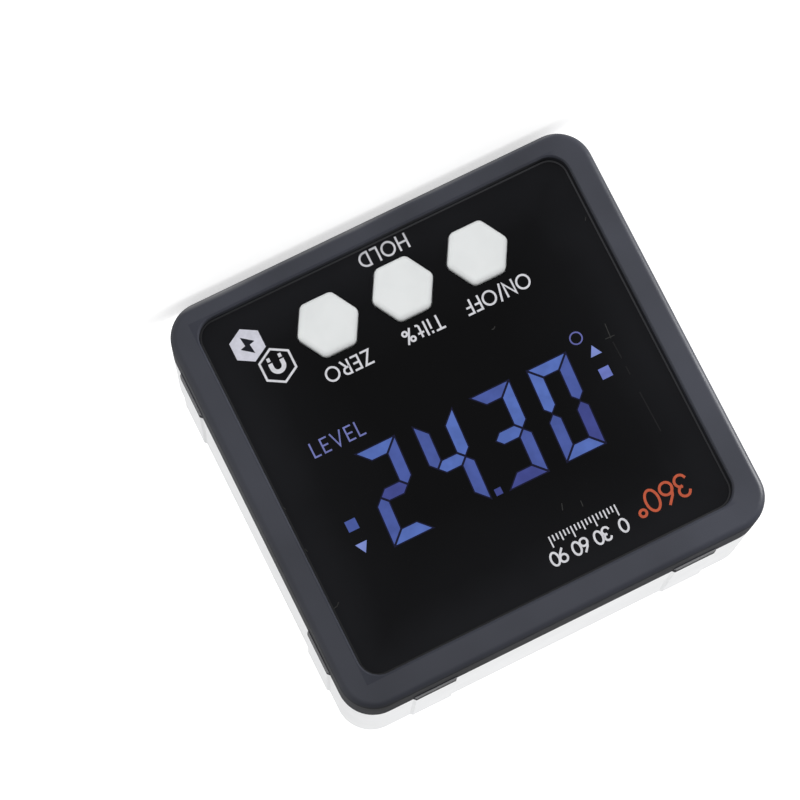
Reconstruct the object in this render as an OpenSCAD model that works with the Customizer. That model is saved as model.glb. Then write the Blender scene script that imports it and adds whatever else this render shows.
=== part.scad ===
// Digital angle gauge: a small square inclinometer that stands on a magnetic base.
// X runs to the right seen from the front, Y from the face to the back, Z up from the base.

/* [Case] */
// Width across the plain sides of the case
case_w = 55.3; // [52:0.1:64]
// Height of the case above its base strip
case_h = 53; // [51:0.5:62]
// Depth from the face of the bezel to the back
case_d = 27; // [26:0.5:34]
// Radius of the four corners, seen from the front
corner_r = 4.4; // [3.6:0.1:6]
// Thickness of the side walls
wall = 2.4; // [2.2:0.1:3]

/* [Rest pads] */
// Length of the flat of a raised pad
pad_len = 5.2; // [4:0.1:9]
// Height of a pad above the plain side
pad_rise = 0.3; // [0.2:0.05:0.8]
// Run of the slope at each end of a pad
pad_slope = 0.3; // [0.2:0.1:1.5]
// Distance between the two pads of one side
pad_pitch = 34.4; // [28:0.2:40]
// How far the pads of the left and the right side sit below its middle
pad_drop = 0.5; // [0:0.1:1]
// Distance from the bezel's face to the front end of a pad
pad_start = 5.4; // [1.6:0.1:6]

/* [Base] */
// How far the base strip stands below the case
base_proud = 1; // [0.5:0.1:2]
// Thickness of the base, from its foot to the hollow of the case
base_t = 5; // [4.4:0.1:6]
// Chamfer on the two ends of the base strip
base_chamfer = 0.6; // [0.2:0.1:1]
// Number of magnets in the base
magnet_count = 4; // [2:1:4]
// Diameter of a magnet
magnet_d = 9; // [6:0.5:9.5]
// Thickness of a magnet
magnet_t = 3; // [2:0.1:3.6]
// Gap round a magnet in its pocket
magnet_gap = 0.1; // [0.05:0.05:0.2]
// How far a magnet sits above the foot of the base
magnet_sink = 0.1; // [0.05:0.05:0.3]
// Metal between the last pocket and the end of the base
magnet_edge = 1.2; // [0.8:0.1:2]

/* [Bezel] */
// Depth of the bezel along the side of the case
bezel_d = 7.5; // [7:0.1:9]
// Width of the rim at the left and the right
rim_side = 3.25; // [2.6:0.05:4]
// Width of the rim at the top
rim_top = 3.5; // [2.6:0.1:5]
// Width of the rim at the bottom
rim_bottom = 2.45; // [2:0.05:4]
// Rounding of the rim's outer front edge
rim_round = 0.8; // [0.5:0.1:1.8]
// Radius of the corners of the opening
opening_r = 2.6; // [2:0.1:4]
// Chamfer on the front edge of the opening
opening_chamfer = 0.2; // [0.1:0.05:0.6]
// Depth of the window's front below the rim
window_recess = 1.5; // [1:0.1:3.4]
// Width of the ledge behind the window
ledge_w = 1.6; // [1.2:0.1:2]
// Thickness of the ledge behind the window
ledge_t = 1.4; // [1:0.1:2]

/* [Window] */
// Thickness of the window
window_t = 1.2; // [1:0.1:1.6]
// Gap between the window and the rim
window_gap = 0.1; // [0.05:0.05:0.2]
// Rounding of the window's front edge
window_round = 0.25; // [0.1:0.05:0.4]

/* [Keys] */
// Width of a key across its flats
key_flats = 7; // [6:0.1:7.6]
// Radius of the six upright edges of a key
key_corner_r = 0.9; // [0.8:0.1:1.2]
// Width of the rounded slope round the top of a key
key_bevel = 0.65; // [0.3:0.05:0.75]
// Height of the rounded slope round the top of a key
key_drop = 0.5; // [0.2:0.05:0.6]
// Distance between neighbouring keys
key_pitch = 9.9; // [9.8:0.1:11]
// How far the row of keys sits to the left of the middle
key_shift = 0.15; // [0:0.05:0.6]
// Height of the row of keys above the foot
key_row = 10.2; // [9.4:0.1:11]
// Height of a key's top above the window
key_rise = 1; // [0.8:0.1:2.8]
// Travel of a key
key_travel = 0.5; // [0.2:0.05:0.6]
// Gap round a key in the window
key_gap = 0.12; // [0.08:0.01:0.2]
// Gap between a key's flange and the back of the window
key_play = 0.1; // [0.05:0.05:0.2]
// Width of the flange that keeps a key in
key_lip = 0.6; // [0.4:0.05:0.7]
// Thickness of the flange of a key
key_lip_t = 0.8; // [0.6:0.1:1]
// Diameter of the stem behind a key
key_stem_d = 3; // [2:0.1:3.2]
// Length of the stem behind a key
key_stem_len = 0.5; // [0.3:0.1:1]

/* [Switches] */
// Side of the square body of a switch
switch_w = 6; // [5:0.1:6.5]
// Height of the body of a switch
switch_h = 3.5; // [3.2:0.1:4]
// Diameter of the plunger of a switch
plunger_d = 3.4; // [3:0.1:3.6]
// Height of the plunger above the body at rest
plunger_rise = 0.7; // [0.65:0.05:1]
// Length of the plunger inside the body at rest
plunger_hold = 0.5; // [0.3:0.05:0.8]
// Gap round the plunger
plunger_gap = 0.08; // [0.05:0.01:0.1]
// Room below the plunger at the end of its travel
plunger_room = 0.3; // [0.1:0.05:0.5]

/* [Display] */
// Room between the flanges of the keys and the display's holder
key_room = 4.2; // [2:0.1:6]
// Thickness of the display glass
lcd_t = 2.6; // [2:0.1:3]
// Gap between the glass and its holder
lcd_gap = 0.2; // [0.1:0.05:0.3]
// Wall of the holder of the display
holder_wall = 1.2; // [1:0.1:1.4]
// Gap between the holder and the parts round it
holder_gap = 0.4; // [0.3:0.1:0.8]
// How far the holder stays behind the window
holder_clear = 0.2; // [0.1:0.1:0.4]
// Width of the contact strip along the top of the glass
contact_w = 1.6; // [1.2:0.1:2]
// Space between the light guide and its neighbours
light_gap = 0.3; // [0.2:0.1:0.5]
// Number of lamps that feed the light guide
lamp_count = 3; // [2:1:5]
// Length of a lamp
lamp_l = 3; // [1:0.1:4]
// Width of a lamp
lamp_w = 0.9; // [0.6:0.1:1.2]
// Height of a lamp
lamp_h = 1.4; // [0.8:0.1:2]
// Distance from the holder's lower edge to its screws
ear_drop = 1.9; // [1.8:0.1:2.4]
// Radius of the bosses for the holder's screws
ear_r = 2.2; // [2:0.1:2.4]
// Height of the bosses for the holder's screws
ear_h = 3.4; // [3:0.1:4]
// Distance between the holder's screws
ear_pitch = 35.6; // [34:0.2:38]

/* [Board] */
// Thickness of the circuit board
board_t = 1.2; // [0.8:0.1:1.6]
// Gap between the board and the walls of the case
board_gap = 0.5; // [0.3:0.1:1]
// Side of the square controller chip
chip_w = 10; // [7:0.5:12]
// Thickness of the controller chip
chip_t = 1.4; // [0.8:0.1:2]
// Distance of the controller chip from the centre line
chip_x = 5; // [0:0.5:10]
// Height of the controller chip's middle above the foot
chip_mid = 25.5; // [24:0.5:28]
// Side of the square tilt sensor
sensor_w = 3; // [2:0.1:4]
// Thickness of the tilt sensor
sensor_t = 0.9; // [0.6:0.1:1.2]
// Distance of the tilt sensor from the centre line
sensor_x = 9; // [0:0.5:14]
// Height of the tilt sensor's middle above the foot
sensor_mid = 37.5; // [36:0.5:40]
// Length of the charging chip
charger_l = 3; // [2:0.1:4]
// Width of the charging chip
charger_w = 1.6; // [1:0.1:2]
// Thickness of the charging chip
charger_t = 1.1; // [0.8:0.1:1.4]
// Room between the charging socket and the charging chip
charger_room = 8; // [2:0.5:10]

/* [Power] */
// Width of the battery cell
cell_w = 34; // [28:0.5:36]
// Height of the battery cell
cell_h = 22; // [18:0.5:24]
// Thickness of the battery cell
cell_t = 5.2; // [4:0.1:6]
// Radius of the corners of the battery cell
cell_r = 1.5; // [1:0.1:3]
// Rounding of the battery cell's edge
cell_round = 0.8; // [0.4:0.1:1.2]
// Height of the battery's middle above the foot
cell_mid = 30; // [28:0.5:32]
// Outer width of the charging socket
socket_w = 9; // [8:0.1:10]
// Outer height of the charging socket
socket_h = 3.2; // [3:0.1:3.6]
// Length of the charging socket
socket_len = 7.5; // [6.5:0.1:9]
// Sheet thickness of the charging socket
socket_sheet = 0.3; // [0.25:0.05:0.4]
// Thickness of the back wall of the charging socket
socket_back = 1; // [0.6:0.1:1.5]
// Width of the tongue in the socket
tongue_w = 6.7; // [5:0.1:7]
// Length of the tongue in the socket
tongue_len = 4.6; // [3:0.1:5]
// Thickness of the tongue in the socket
tongue_t = 0.7; // [0.5:0.1:0.9]
// Depth of the socket's mouth below the side of the case
socket_inset = 1.1; // [0.6:0.1:1.6]
// Gap round the socket in the side of the case
socket_gap = 0.2; // [0.1:0.05:0.4]
// Height of the socket's middle above the foot
socket_mid = 28; // [24:0.5:32]

/* [Back and fasteners] */
// Thickness of the back cover
cover_t = 2; // [1.8:0.1:2.6]
// Rounding of the back cover's outer edge
cover_round = 1; // [0.4:0.1:1.4]
// Height of the lip that seats inside the frame
lip_h = 1.6; // [1:0.1:3]
// Thickness of the lip
lip_t = 1.2; // [0.8:0.1:1.6]
// Gap between the lip and the frame
lip_gap = 0.15; // [0.1:0.05:0.3]
// Radius of the screw posts
post_r = 3; // [2.6:0.1:3.2]
// Gap between a post and the walls round it
post_gap = 0.6; // [0.4:0.1:1]
// Diameter of the case screws
screw_d = 2; // [1.8:0.1:2.2]
// Diameter of the heads of the case screws
screw_head_d = 3.8; // [3.4:0.1:4]
// Height of the heads of the case screws
screw_head_h = 1.3; // [1:0.1:1.4]
// How far the heads lie below the back
screw_sink = 0.2; // [0.1:0.05:0.3]
// Length of case screw in the bezel's posts
screw_bite = 4.2; // [3:0.1:4.6]
// Diameter of the holder screws
small_screw_d = 1.6; // [1.4:0.1:1.8]
// Diameter of the heads of the holder screws
small_head_d = 3.2; // [2.8:0.1:3.4]
// Height of the heads of the holder screws
small_head_h = 1.2; // [0.8:0.1:1.4]
// Width of the cross recess in a screw head
cross_w = 0.5; // [0.3:0.05:0.6]
// Length of the cross recess as a share of the head's diameter
cross_share = 0.6; // [0.4:0.05:0.7]
// Depth of the cross recess in a screw head
cross_d = 0.7; // [0.4:0.1:0.8]
// Gap round a screw where it passes through
pass_gap = 0.2; // [0.1:0.05:0.3]
// Gap round a screw where it holds
bite_gap = 0.05; // [0.02:0.01:0.08]
// Width of the seals
seal_w = 1; // [0.8:0.1:1.2]
// Thickness of the seals
seal_t = 0.8; // [0.6:0.1:1]

/* [Hidden] */
$fn = 48;
// Overlap of pieces that are one solid, and overrun of cuts
lap = 0.5;
// Smallest radius of an inside corner
least_r = 0.3;
// Angle between the points of a key's round corners
hex_step = 10;
// Angle between the points of the rounded slope of a key
slope_step = 18;

// Heights above the foot
case_mid = base_proud + case_h / 2;
hollow_low = base_t;
hollow_high = base_proud + case_h - wall;
open_low = base_proud + rim_bottom;
open_high = base_proud + case_h - rim_top;
open_mid = (open_low + open_high) / 2;

// Widths and heights of nested outlines
hollow_w = case_w - 2 * wall;
hollow_h = hollow_high - hollow_low;
hollow_mid = (hollow_low + hollow_high) / 2;
hollow_r = max(corner_r - wall, least_r + max(lip_gap, board_gap));
open_w = case_w - 2 * rim_side;
open_h = open_high - open_low;
ledge_open_w = open_w - 2 * ledge_w;
ledge_open_h = open_h - 2 * ledge_w;
base_w = case_w - 2 * corner_r;

// Depths, counted from the back of the case to its face
face_z = case_d;
frame_back = cover_t;
frame_front = face_z - bezel_d;
frame_d = frame_front - frame_back;
window_front = face_z - window_recess;
window_back = window_front - window_t;
ledge_back = window_back - ledge_t;
flange_front = window_back - key_play;
flange_back = flange_front - key_lip_t;
stem_back = flange_back - key_stem_len;
switch_top = stem_back - plunger_rise;
board_front = switch_top - switch_h;
board_back = board_front - board_t;
holder_front = window_back - holder_clear;
lcd_front = holder_front - holder_clear;
lcd_back = lcd_front - lcd_t;

// Places of the four screw posts
post_x = hollow_w / 2 - post_gap - post_r;
post_low = hollow_low + post_gap + post_r;
post_high = hollow_high - post_gap - post_r;
post_spots = [for (x = [-post_x, post_x], y = [post_low, post_high]) [x, y]];

// The holder fills the way through the ledge, from the keys to the upper posts
flange_flats = key_flats + 2 * key_lip;
holder_w = ledge_open_w - 2 * holder_gap;
holder_low = key_row + flange_flats / 2 + key_room;
holder_high = post_high - post_r - holder_gap;
holder_h = holder_high - holder_low;
holder_mid = (holder_low + holder_high) / 2;
lcd_w = holder_w - 2 * holder_wall - 2 * lcd_gap;
lcd_h = holder_h - 2 * holder_wall - 2 * lcd_gap;
lcd_low = holder_mid - lcd_h / 2;
lcd_high = holder_mid + lcd_h / 2;
ear_spots = [for (x = [-1, 1]) [x * ear_pitch / 2, holder_low - ear_drop]];

// Screws
screw_seat = screw_sink + screw_head_h;
screw_tip = board_front + screw_bite;
small_seat = board_back;
small_tip = board_front + ear_h - lap;

// Places along the row of keys and of magnets
key_spots = [for (i = [-1 : 1]) i * key_pitch - key_shift];
magnet_span = base_w - 2 * magnet_edge - magnet_d - 2 * magnet_gap;
magnet_spots = [for (i = [0 : magnet_count - 1]) magnet_span * (i / (magnet_count - 1) - 0.5)];
magnet_z = frame_back + frame_d / 2;

// Charging socket, fixed to the back of the board with its mouth in the left side
socket_mouth = -case_w / 2 + socket_inset;
socket_z = board_back - socket_h / 2;
charger_x = socket_mouth + socket_len + charger_room + charger_l / 2;

// Turns a drawing of the face, with its depth counted from the back, into the standing gauge
module place() {
    translate([0, case_d / 2, 0])
        rotate([90, 0, 0])
            children();
}

// Rectangle with round corners, about its middle
module rounded_rect(w, h, r) {
    square([w - 2 * r, h], center = true);
    square([w, h - 2 * r], center = true);
    for (x = [-1, 1], y = [-1, 1])
        translate([x * (w / 2 - r), y * (h / 2 - r)])
            circle(r);
}

// Band of the given width inside a rounded rectangle
module rounded_band(w, h, r, band) {
    difference() {
        rounded_rect(w, h, r);
        rounded_rect(w - 2 * band, h - 2 * band, max(r - band, least_r));
    }
}

// Slot shape with two half-round ends
module stadium(w, h) {
    square([w - h, h], center = true);
    for (x = [-1, 1])
        translate([x * (w - h) / 2, 0])
            circle(h / 2);
}

// Six-sided outline with round corners, two flats level, about its middle
function hex_side(flats, r) = (flats - 2 * r) / sqrt(3);
function polar(radius, angle) = radius * [cos(angle), sin(angle)];
function hex_outline(flats, r) = [
    for (i = [0 : 5], a = [-30 : hex_step : 30]) polar(hex_side(flats, r), 60 * i) + polar(r, 60 * i + a)
];

// Section from the middle of a slab to its edge, with the upper edge rounded or flared out
module edge_section(half, d, round = 0, flare = 0) {
    if (round > 0) {
        square([half, d - round]);
        square([half - round, d]);
        translate([half - round, d - round])
            intersection() {
                circle(round);
                square(round);
            }
    } else {
        polygon([[0, 0], [half, 0], [half, d - flare], [half + flare, d], [0, d]]);
    }
}

// The same section on both sides of the middle, drawn out along X
module edge_bar(length, width, d, round = 0, flare = 0) {
    rotate([90, 0, 90])
        linear_extrude(length, center = true)
            for (side = [0, 1])
                mirror([side, 0])
                    edge_section(width / 2, d, round, flare);
}

// Slab on a rounded rectangle
module rect_slab(w, h, r, d, round = 0, flare = 0) {
    edge_bar(w - 2 * r, h, d, round, flare);
    rotate(90)
        edge_bar(h - 2 * r, w, d, round, flare);
    for (x = [-1, 1], y = [-1, 1])
        translate([x * (w / 2 - r), y * (h / 2 - r), 0])
            rotate_extrude()
                edge_section(r, d, round, flare);
}

// Slab on a rounded hexagon, with a rounded slope round its upper edge
module hex_slab(flats, r, d, bevel, drop) {
    slope = [for (a = [0 : slope_step : 90]) [r - bevel + bevel * cos(a), d - drop + drop * sin(a)]];
    hull()
        for (i = [0 : 5])
            rotate(60 * i)
                translate([hex_side(flats, r), 0, 0])
                    rotate_extrude($fn = 360 / hex_step)
                        polygon(concat([[0, 0], [r, 0]], slope, [[0, d]]));
}

// One raised pad with sloping ends, on a side that faces up
module pad_outline() {
    foot = pad_len / 2 + pad_slope;
    polygon([[-foot, -lap], [-foot, 0], [-pad_len / 2, pad_rise], [pad_len / 2, pad_rise], [foot, 0],
        [foot, -lap]]);
}

// The pads of the top, the left and the right side
module pad_outlines() {
    for (turn = [-90, 0, 90], x = [-1, 1])
        translate([0, turn == 0 ? case_mid : case_mid - pad_drop])
            rotate(turn)
                translate([x * pad_pitch / 2, turn == 0 ? case_h / 2 : case_w / 2])
                    pad_outline();
}

// Strip that stands below the case and meets the surface
module base_outline() {
    half = base_w / 2;
    polygon([[-half + base_chamfer, 0], [half - base_chamfer, 0], [half, base_chamfer], [half, base_t],
        [-half, base_t], [-half, base_chamfer]]);
}

// Ring of a seal, in the middle of the side wall
module seal_outline() {
    inset = (wall - seal_w) / 2;
    translate([0, case_mid])
        rounded_band(case_w - 2 * inset, case_h - 2 * inset, corner_r - inset, seal_w);
}

// Pan head with a cross recess and its plain shank, standing on its head
module screw(d, head_d, head_h, length) {
    difference() {
        cylinder(d = head_d, h = head_h);
        translate([0, 0, -lap])
            linear_extrude(cross_d + lap)
                for (turn = [0, 90])
                    rotate(turn)
                        square([head_d * cross_share, cross_w], center = true);
    }
    translate([0, 0, head_h - lap])
        cylinder(d = d, h = length + lap);
}

// Rectangular chip on the back of the board
module chip(size, x, y) {
    translate([x - size[0] / 2, y - size[1] / 2, board_back - size[2]])
        cube(size);
}

// Moulded front frame with a sunk opening, the ledge for the window and four screw posts
module front_bezel() {
    color("#43444b")
        place()
            difference() {
                union() {
                    difference() {
                        union() {
                            translate([0, case_mid, frame_front])
                                rect_slab(case_w, case_h, corner_r, bezel_d, rim_round);
                            translate([0, 0, frame_front])
                                linear_extrude(bezel_d - pad_start)
                                    pad_outlines();
                        }
                        translate([0, open_mid, window_back])
                            rect_slab(open_w, open_h, opening_r, face_z - window_back + lap,
                                flare = opening_chamfer + lap);
                        translate([0, open_mid, frame_front - lap])
                            linear_extrude(bezel_d)
                                rounded_rect(ledge_open_w, ledge_open_h, max(opening_r - ledge_w, least_r));
                        translate([0, hollow_mid, frame_front - lap])
                            linear_extrude(ledge_back - frame_front + lap)
                                rounded_rect(hollow_w, hollow_h, hollow_r);
                    }
                    for (spot = post_spots)
                        translate([spot[0], spot[1], board_front])
                            cylinder(r = post_r, h = window_back - board_front);
                }
                for (spot = post_spots)
                    translate([spot[0], spot[1], board_front - lap])
                        cylinder(d = screw_d + 2 * bite_gap, h = screw_bite + 2 * lap);
            }
}

// Light alloy frame with the raised pads, the base strip and the magnet pockets
module body_frame() {
    color("silver")
        place()
            difference() {
                translate([0, 0, frame_back]) {
                    linear_extrude(frame_d)
                        translate([0, case_mid])
                            rounded_rect(case_w, case_h, corner_r);
                    linear_extrude(frame_d)
                        pad_outlines();
                    linear_extrude(frame_d)
                        base_outline();
                }
                translate([0, hollow_mid, frame_back - lap])
                    linear_extrude(frame_d + 2 * lap)
                        rounded_rect(hollow_w, hollow_h, hollow_r);
                for (x = magnet_spots)
                    translate([x, -lap, magnet_z])
                        rotate([-90, 0, 0])
                            cylinder(d = magnet_d + 2 * magnet_gap, h = magnet_sink + magnet_t + lap);
                translate([-case_w / 2 - lap, socket_mid, socket_z])
                    rotate([90, 0, 90])
                        linear_extrude(wall + 2 * lap)
                            stadium(socket_w + 2 * socket_gap, socket_h + 2 * socket_gap);
                translate([0, 0, frame_front - seal_t])
                    linear_extrude(seal_t + lap)
                        seal_outline();
                translate([0, 0, frame_back - lap])
                    linear_extrude(seal_t + lap)
                        seal_outline();
            }
}

// Back cover with a seating lip and the bosses that clamp the board
module rear_cover() {
    color("silver")
        place()
            difference() {
                union() {
                    translate([0, case_mid, cover_t])
                        mirror([0, 0, 1])
                            rect_slab(case_w, case_h, corner_r, cover_t, cover_round);
                    translate([0, hollow_mid, cover_t - lap])
                        linear_extrude(lip_h + lap)
                            rounded_band(hollow_w - 2 * lip_gap, hollow_h - 2 * lip_gap,
                                hollow_r - lip_gap, lip_t);
                    for (spot = post_spots)
                        translate([spot[0], spot[1], cover_t - lap])
                            cylinder(r = post_r, h = board_back - cover_t + lap);
                }
                for (spot = post_spots)
                    translate([spot[0], spot[1], -lap]) {
                        cylinder(d = screw_d + 2 * pass_gap, h = board_back + 2 * lap);
                        cylinder(d = screw_head_d + 2 * pass_gap, h = screw_seat + lap);
                    }
            }
}

// Glossy window with three six-sided ways through
module front_window() {
    color("#141417")
        place()
            difference() {
                translate([0, open_mid, window_back])
                    rect_slab(open_w - 2 * window_gap, open_h - 2 * window_gap, opening_r - window_gap,
                        window_t, window_round);
                for (x = key_spots)
                    translate([x, key_row, window_back - lap])
                        linear_extrude(window_t + 2 * lap)
                            polygon(hex_outline(key_flats + 2 * key_gap, key_corner_r + key_gap));
            }
}

// One key: a six-sided cap, the flange that keeps it in and the stem that works its switch
module key(x) {
    place()
        translate([x, key_row, 0]) {
            translate([0, 0, flange_front - lap])
                hex_slab(key_flats, key_corner_r, window_front + key_rise - flange_front + lap,
                    key_bevel, key_drop);
            translate([0, 0, flange_back])
                cylinder(d = flange_flats / cos(30), h = key_lip_t, $fn = 6);
            translate([0, 0, stem_back])
                cylinder(d = key_stem_d, h = key_stem_len + lap);
        }
}

// Left key
module on_off_button() {
    color("#e6e7ea")
        key(key_spots[0]);
}

// Middle key
module hold_button() {
    color("#e6e7ea")
        key(key_spots[1]);
}

// Right key
module zero_button() {
    color("#e6e7ea")
        key(key_spots[2]);
}

// Plunger of the switch behind a key
module plunger(x) {
    place()
        translate([x, key_row, switch_top - plunger_hold])
            cylinder(d = plunger_d, h = plunger_hold + plunger_rise);
}

// Plunger behind the left key
module on_off_plunger() {
    color("#b8432f")
        plunger(key_spots[0]);
}

// Plunger behind the middle key
module hold_plunger() {
    color("#b8432f")
        plunger(key_spots[1]);
}

// Plunger behind the right key
module zero_plunger() {
    color("#b8432f")
        plunger(key_spots[2]);
}

// Bodies of the three switches, each with the well of its plunger
module key_switches() {
    well = plunger_hold + key_travel + plunger_room;
    color("#26262a")
        place()
            for (x = key_spots)
                translate([x, key_row, board_front])
                    difference() {
                        translate([-switch_w / 2, -switch_w / 2, 0])
                            cube([switch_w, switch_w, switch_h]);
                        translate([0, 0, switch_h - well])
                            cylinder(d = plunger_d + 2 * plunger_gap, h = well + lap);
                    }
}

// Display glass, close behind the window
module lcd_glass() {
    color("#20242c")
        place()
            translate([-lcd_w / 2, lcd_low, lcd_back])
                cube([lcd_w, lcd_h, lcd_t]);
}

// Clear block behind the glass, between the lamps and the contact strip
module lcd_light_guide() {
    low = lcd_low + lamp_w + 2 * light_gap;
    high = lcd_high - contact_w - 2 * light_gap;
    color("#dfe8f2")
        place()
            translate([-lcd_w / 2, low, board_front])
                cube([lcd_w, high - low, lcd_back - board_front]);
}

// Open box round the display, with two bosses for its screws
module lcd_holder() {
    color("#d9d9d4")
        place()
            difference() {
                union() {
                    translate([0, holder_mid, board_front])
                        linear_extrude(holder_front - board_front)
                            square([holder_w, holder_h], center = true);
                    for (spot = ear_spots)
                        translate([spot[0], spot[1], board_front]) {
                            cylinder(r = ear_r, h = ear_h);
                            translate([-ear_r, 0, 0])
                                cube([2 * ear_r, ear_drop + lap, ear_h]);
                        }
                }
                translate([0, holder_mid, board_front - lap])
                    linear_extrude(holder_front - board_front + 2 * lap)
                        square([lcd_w + 2 * lcd_gap, lcd_h + 2 * lcd_gap], center = true);
                for (spot = ear_spots)
                    translate([spot[0], spot[1], board_front - lap])
                        cylinder(d = small_screw_d + 2 * bite_gap, h = ear_h);
            }
}

// Elastic strip that joins the glass to the board
module lcd_contact_strip() {
    color("#c8a0a8")
        place()
            translate([-lcd_w / 2 + light_gap, lcd_high - light_gap - contact_w, board_front])
                cube([lcd_w - 2 * light_gap, contact_w, lcd_back - board_front]);
}

// Lamps along the lower edge of the light guide
module lcd_lamps() {
    lamp_pitch = lcd_w / lamp_count;
    color("#f2efd8")
        place()
            for (i = [0 : lamp_count - 1])
                translate([lamp_pitch * (i + 0.5) - lcd_w / 2, lcd_low + light_gap, board_front])
                    translate([-lamp_l / 2, 0, 0])
                        cube([lamp_l, lamp_w, lamp_h]);
}

// Circuit board, clamped at its corners between the posts
module main_board() {
    color("#1f5c3a")
        place()
            translate([0, hollow_mid, board_back])
                linear_extrude(board_t)
                    difference() {
                        rounded_rect(hollow_w - 2 * board_gap, hollow_h - 2 * board_gap,
                            hollow_r - board_gap);
                        for (spot = post_spots)
                            translate([spot[0], spot[1] - hollow_mid])
                                circle(d = screw_d + 2 * pass_gap);
                        for (spot = ear_spots)
                            translate([spot[0], spot[1] - hollow_mid])
                                circle(d = small_screw_d + 2 * pass_gap);
                    }
}

// Chip that reads the sensor and drives the display
module controller_chip() {
    color("#1c1c1f")
        place()
            chip([chip_w, chip_w, chip_t], chip_x, chip_mid);
}

// Sensor that measures the angle
module tilt_sensor() {
    color("#2a2a2e")
        place()
            chip([sensor_w, sensor_w, sensor_t], sensor_x, sensor_mid);
}

// Chip that charges the cell, beside the charging socket
module charger_chip() {
    color("#1c1c1f")
        place()
            chip([charger_l, charger_w, charger_t], charger_x, socket_mid);
}

// Flat rechargeable cell on the inside of the back cover
module battery_cell() {
    color("#b9bcc2")
        place()
            translate([0, cell_mid, cover_t])
                rect_slab(cell_w, cell_h, cell_r, cell_t, cell_round);
}

// Folded metal shell with the contact tongue inside, its mouth in the left side of the case
module charging_socket() {
    color("#a9abb0")
        place()
            translate([socket_mouth, socket_mid, socket_z])
                rotate([90, 0, 90]) {
                    difference() {
                        linear_extrude(socket_len)
                            stadium(socket_w, socket_h);
                        translate([0, 0, -lap])
                            linear_extrude(socket_len - socket_back + lap)
                                stadium(socket_w - 2 * socket_sheet, socket_h - 2 * socket_sheet);
                    }
                    translate([0, 0, socket_len - socket_back - tongue_len])
                        linear_extrude(tongue_len + lap)
                            square([tongue_w, tongue_t], center = true);
                }
}

// Disc magnets in the base
module base_magnets() {
    color("#9a9ca0")
        place()
            for (x = magnet_spots)
                translate([x, magnet_sink, magnet_z])
                    rotate([-90, 0, 0])
                        cylinder(d = magnet_d, h = magnet_t);
}

// Seal between the frame and the bezel
module front_seal() {
    color("#18181a")
        place()
            translate([0, 0, frame_front - seal_t])
                linear_extrude(seal_t)
                    seal_outline();
}

// Seal between the frame and the cover
module rear_seal() {
    color("#18181a")
        place()
            translate([0, 0, frame_back])
                linear_extrude(seal_t)
                    seal_outline();
}

// Long screws that hold the cover, the board and the bezel together
module case_screws() {
    color("#8d8f94")
        place()
            for (spot = post_spots)
                translate([spot[0], spot[1], screw_sink])
                    screw(screw_d, screw_head_d, screw_head_h, screw_tip - screw_seat);
}

// Short screws that hold the display's holder to the board
module holder_screws() {
    color("#8d8f94")
        place()
            for (spot = ear_spots)
                translate([spot[0], spot[1], small_seat - small_head_h])
                    screw(small_screw_d, small_head_d, small_head_h, small_tip - small_seat - lap);
}

front_bezel();
body_frame();
rear_cover();
front_window();
on_off_button();
hold_button();
zero_button();
on_off_plunger();
hold_plunger();
zero_plunger();
key_switches();
lcd_glass();
lcd_light_guide();
lcd_holder();
lcd_contact_strip();
lcd_lamps();
main_board();
controller_chip();
tilt_sensor();
charger_chip();
battery_cell();
charging_socket();
base_magnets();
front_seal();
rear_seal();
case_screws();
holder_screws();
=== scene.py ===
import bmesh
import bpy
import math
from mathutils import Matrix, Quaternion, Vector


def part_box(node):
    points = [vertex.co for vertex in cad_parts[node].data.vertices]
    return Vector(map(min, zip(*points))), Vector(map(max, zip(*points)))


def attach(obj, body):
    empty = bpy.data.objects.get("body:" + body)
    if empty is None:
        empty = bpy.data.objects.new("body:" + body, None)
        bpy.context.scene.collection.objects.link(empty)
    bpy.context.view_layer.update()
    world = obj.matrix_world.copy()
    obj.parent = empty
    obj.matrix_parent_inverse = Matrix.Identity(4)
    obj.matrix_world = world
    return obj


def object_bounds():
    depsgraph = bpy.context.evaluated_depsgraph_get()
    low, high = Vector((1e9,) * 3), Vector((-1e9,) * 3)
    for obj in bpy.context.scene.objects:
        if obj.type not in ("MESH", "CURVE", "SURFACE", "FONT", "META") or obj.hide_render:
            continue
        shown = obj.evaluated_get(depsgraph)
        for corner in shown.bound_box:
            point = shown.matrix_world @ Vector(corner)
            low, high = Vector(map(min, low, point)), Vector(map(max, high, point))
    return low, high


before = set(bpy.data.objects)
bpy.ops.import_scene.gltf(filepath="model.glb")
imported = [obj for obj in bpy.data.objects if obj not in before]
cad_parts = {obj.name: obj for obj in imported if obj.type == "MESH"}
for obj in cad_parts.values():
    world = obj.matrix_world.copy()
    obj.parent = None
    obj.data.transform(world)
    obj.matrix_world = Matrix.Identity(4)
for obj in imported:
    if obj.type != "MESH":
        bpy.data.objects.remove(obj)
cad_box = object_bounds()
scene = bpy.context.scene

# Everything that is drawn on the window is given in millimetres: X to the right, Z up from the foot
MM = 0.001
PANEL_LOW, PANEL_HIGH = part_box("front_window")
BEZEL_LOW, BEZEL_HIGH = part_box("front_bezel")
PANEL_Y = PANEL_LOW.y
INK_PROUD = 0.02 * MM
INK_SUNK = 0.01 * MM
INK_LAYER = 0.004 * MM


# Materials: small helpers, then one function for each finish

def start(name, roughness=0.5, metallic=0.0, specular=0.5):
    """A new material with its node tree and its surface shader."""
    made = bpy.data.materials.new(name)
    made.use_nodes = True
    shader = made.node_tree.nodes["Principled BSDF"]
    shader.inputs["Roughness"].default_value = roughness
    shader.inputs["Metallic"].default_value = metallic
    shader.inputs["Specular IOR Level"].default_value = specular
    return made, made.node_tree, shader


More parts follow.
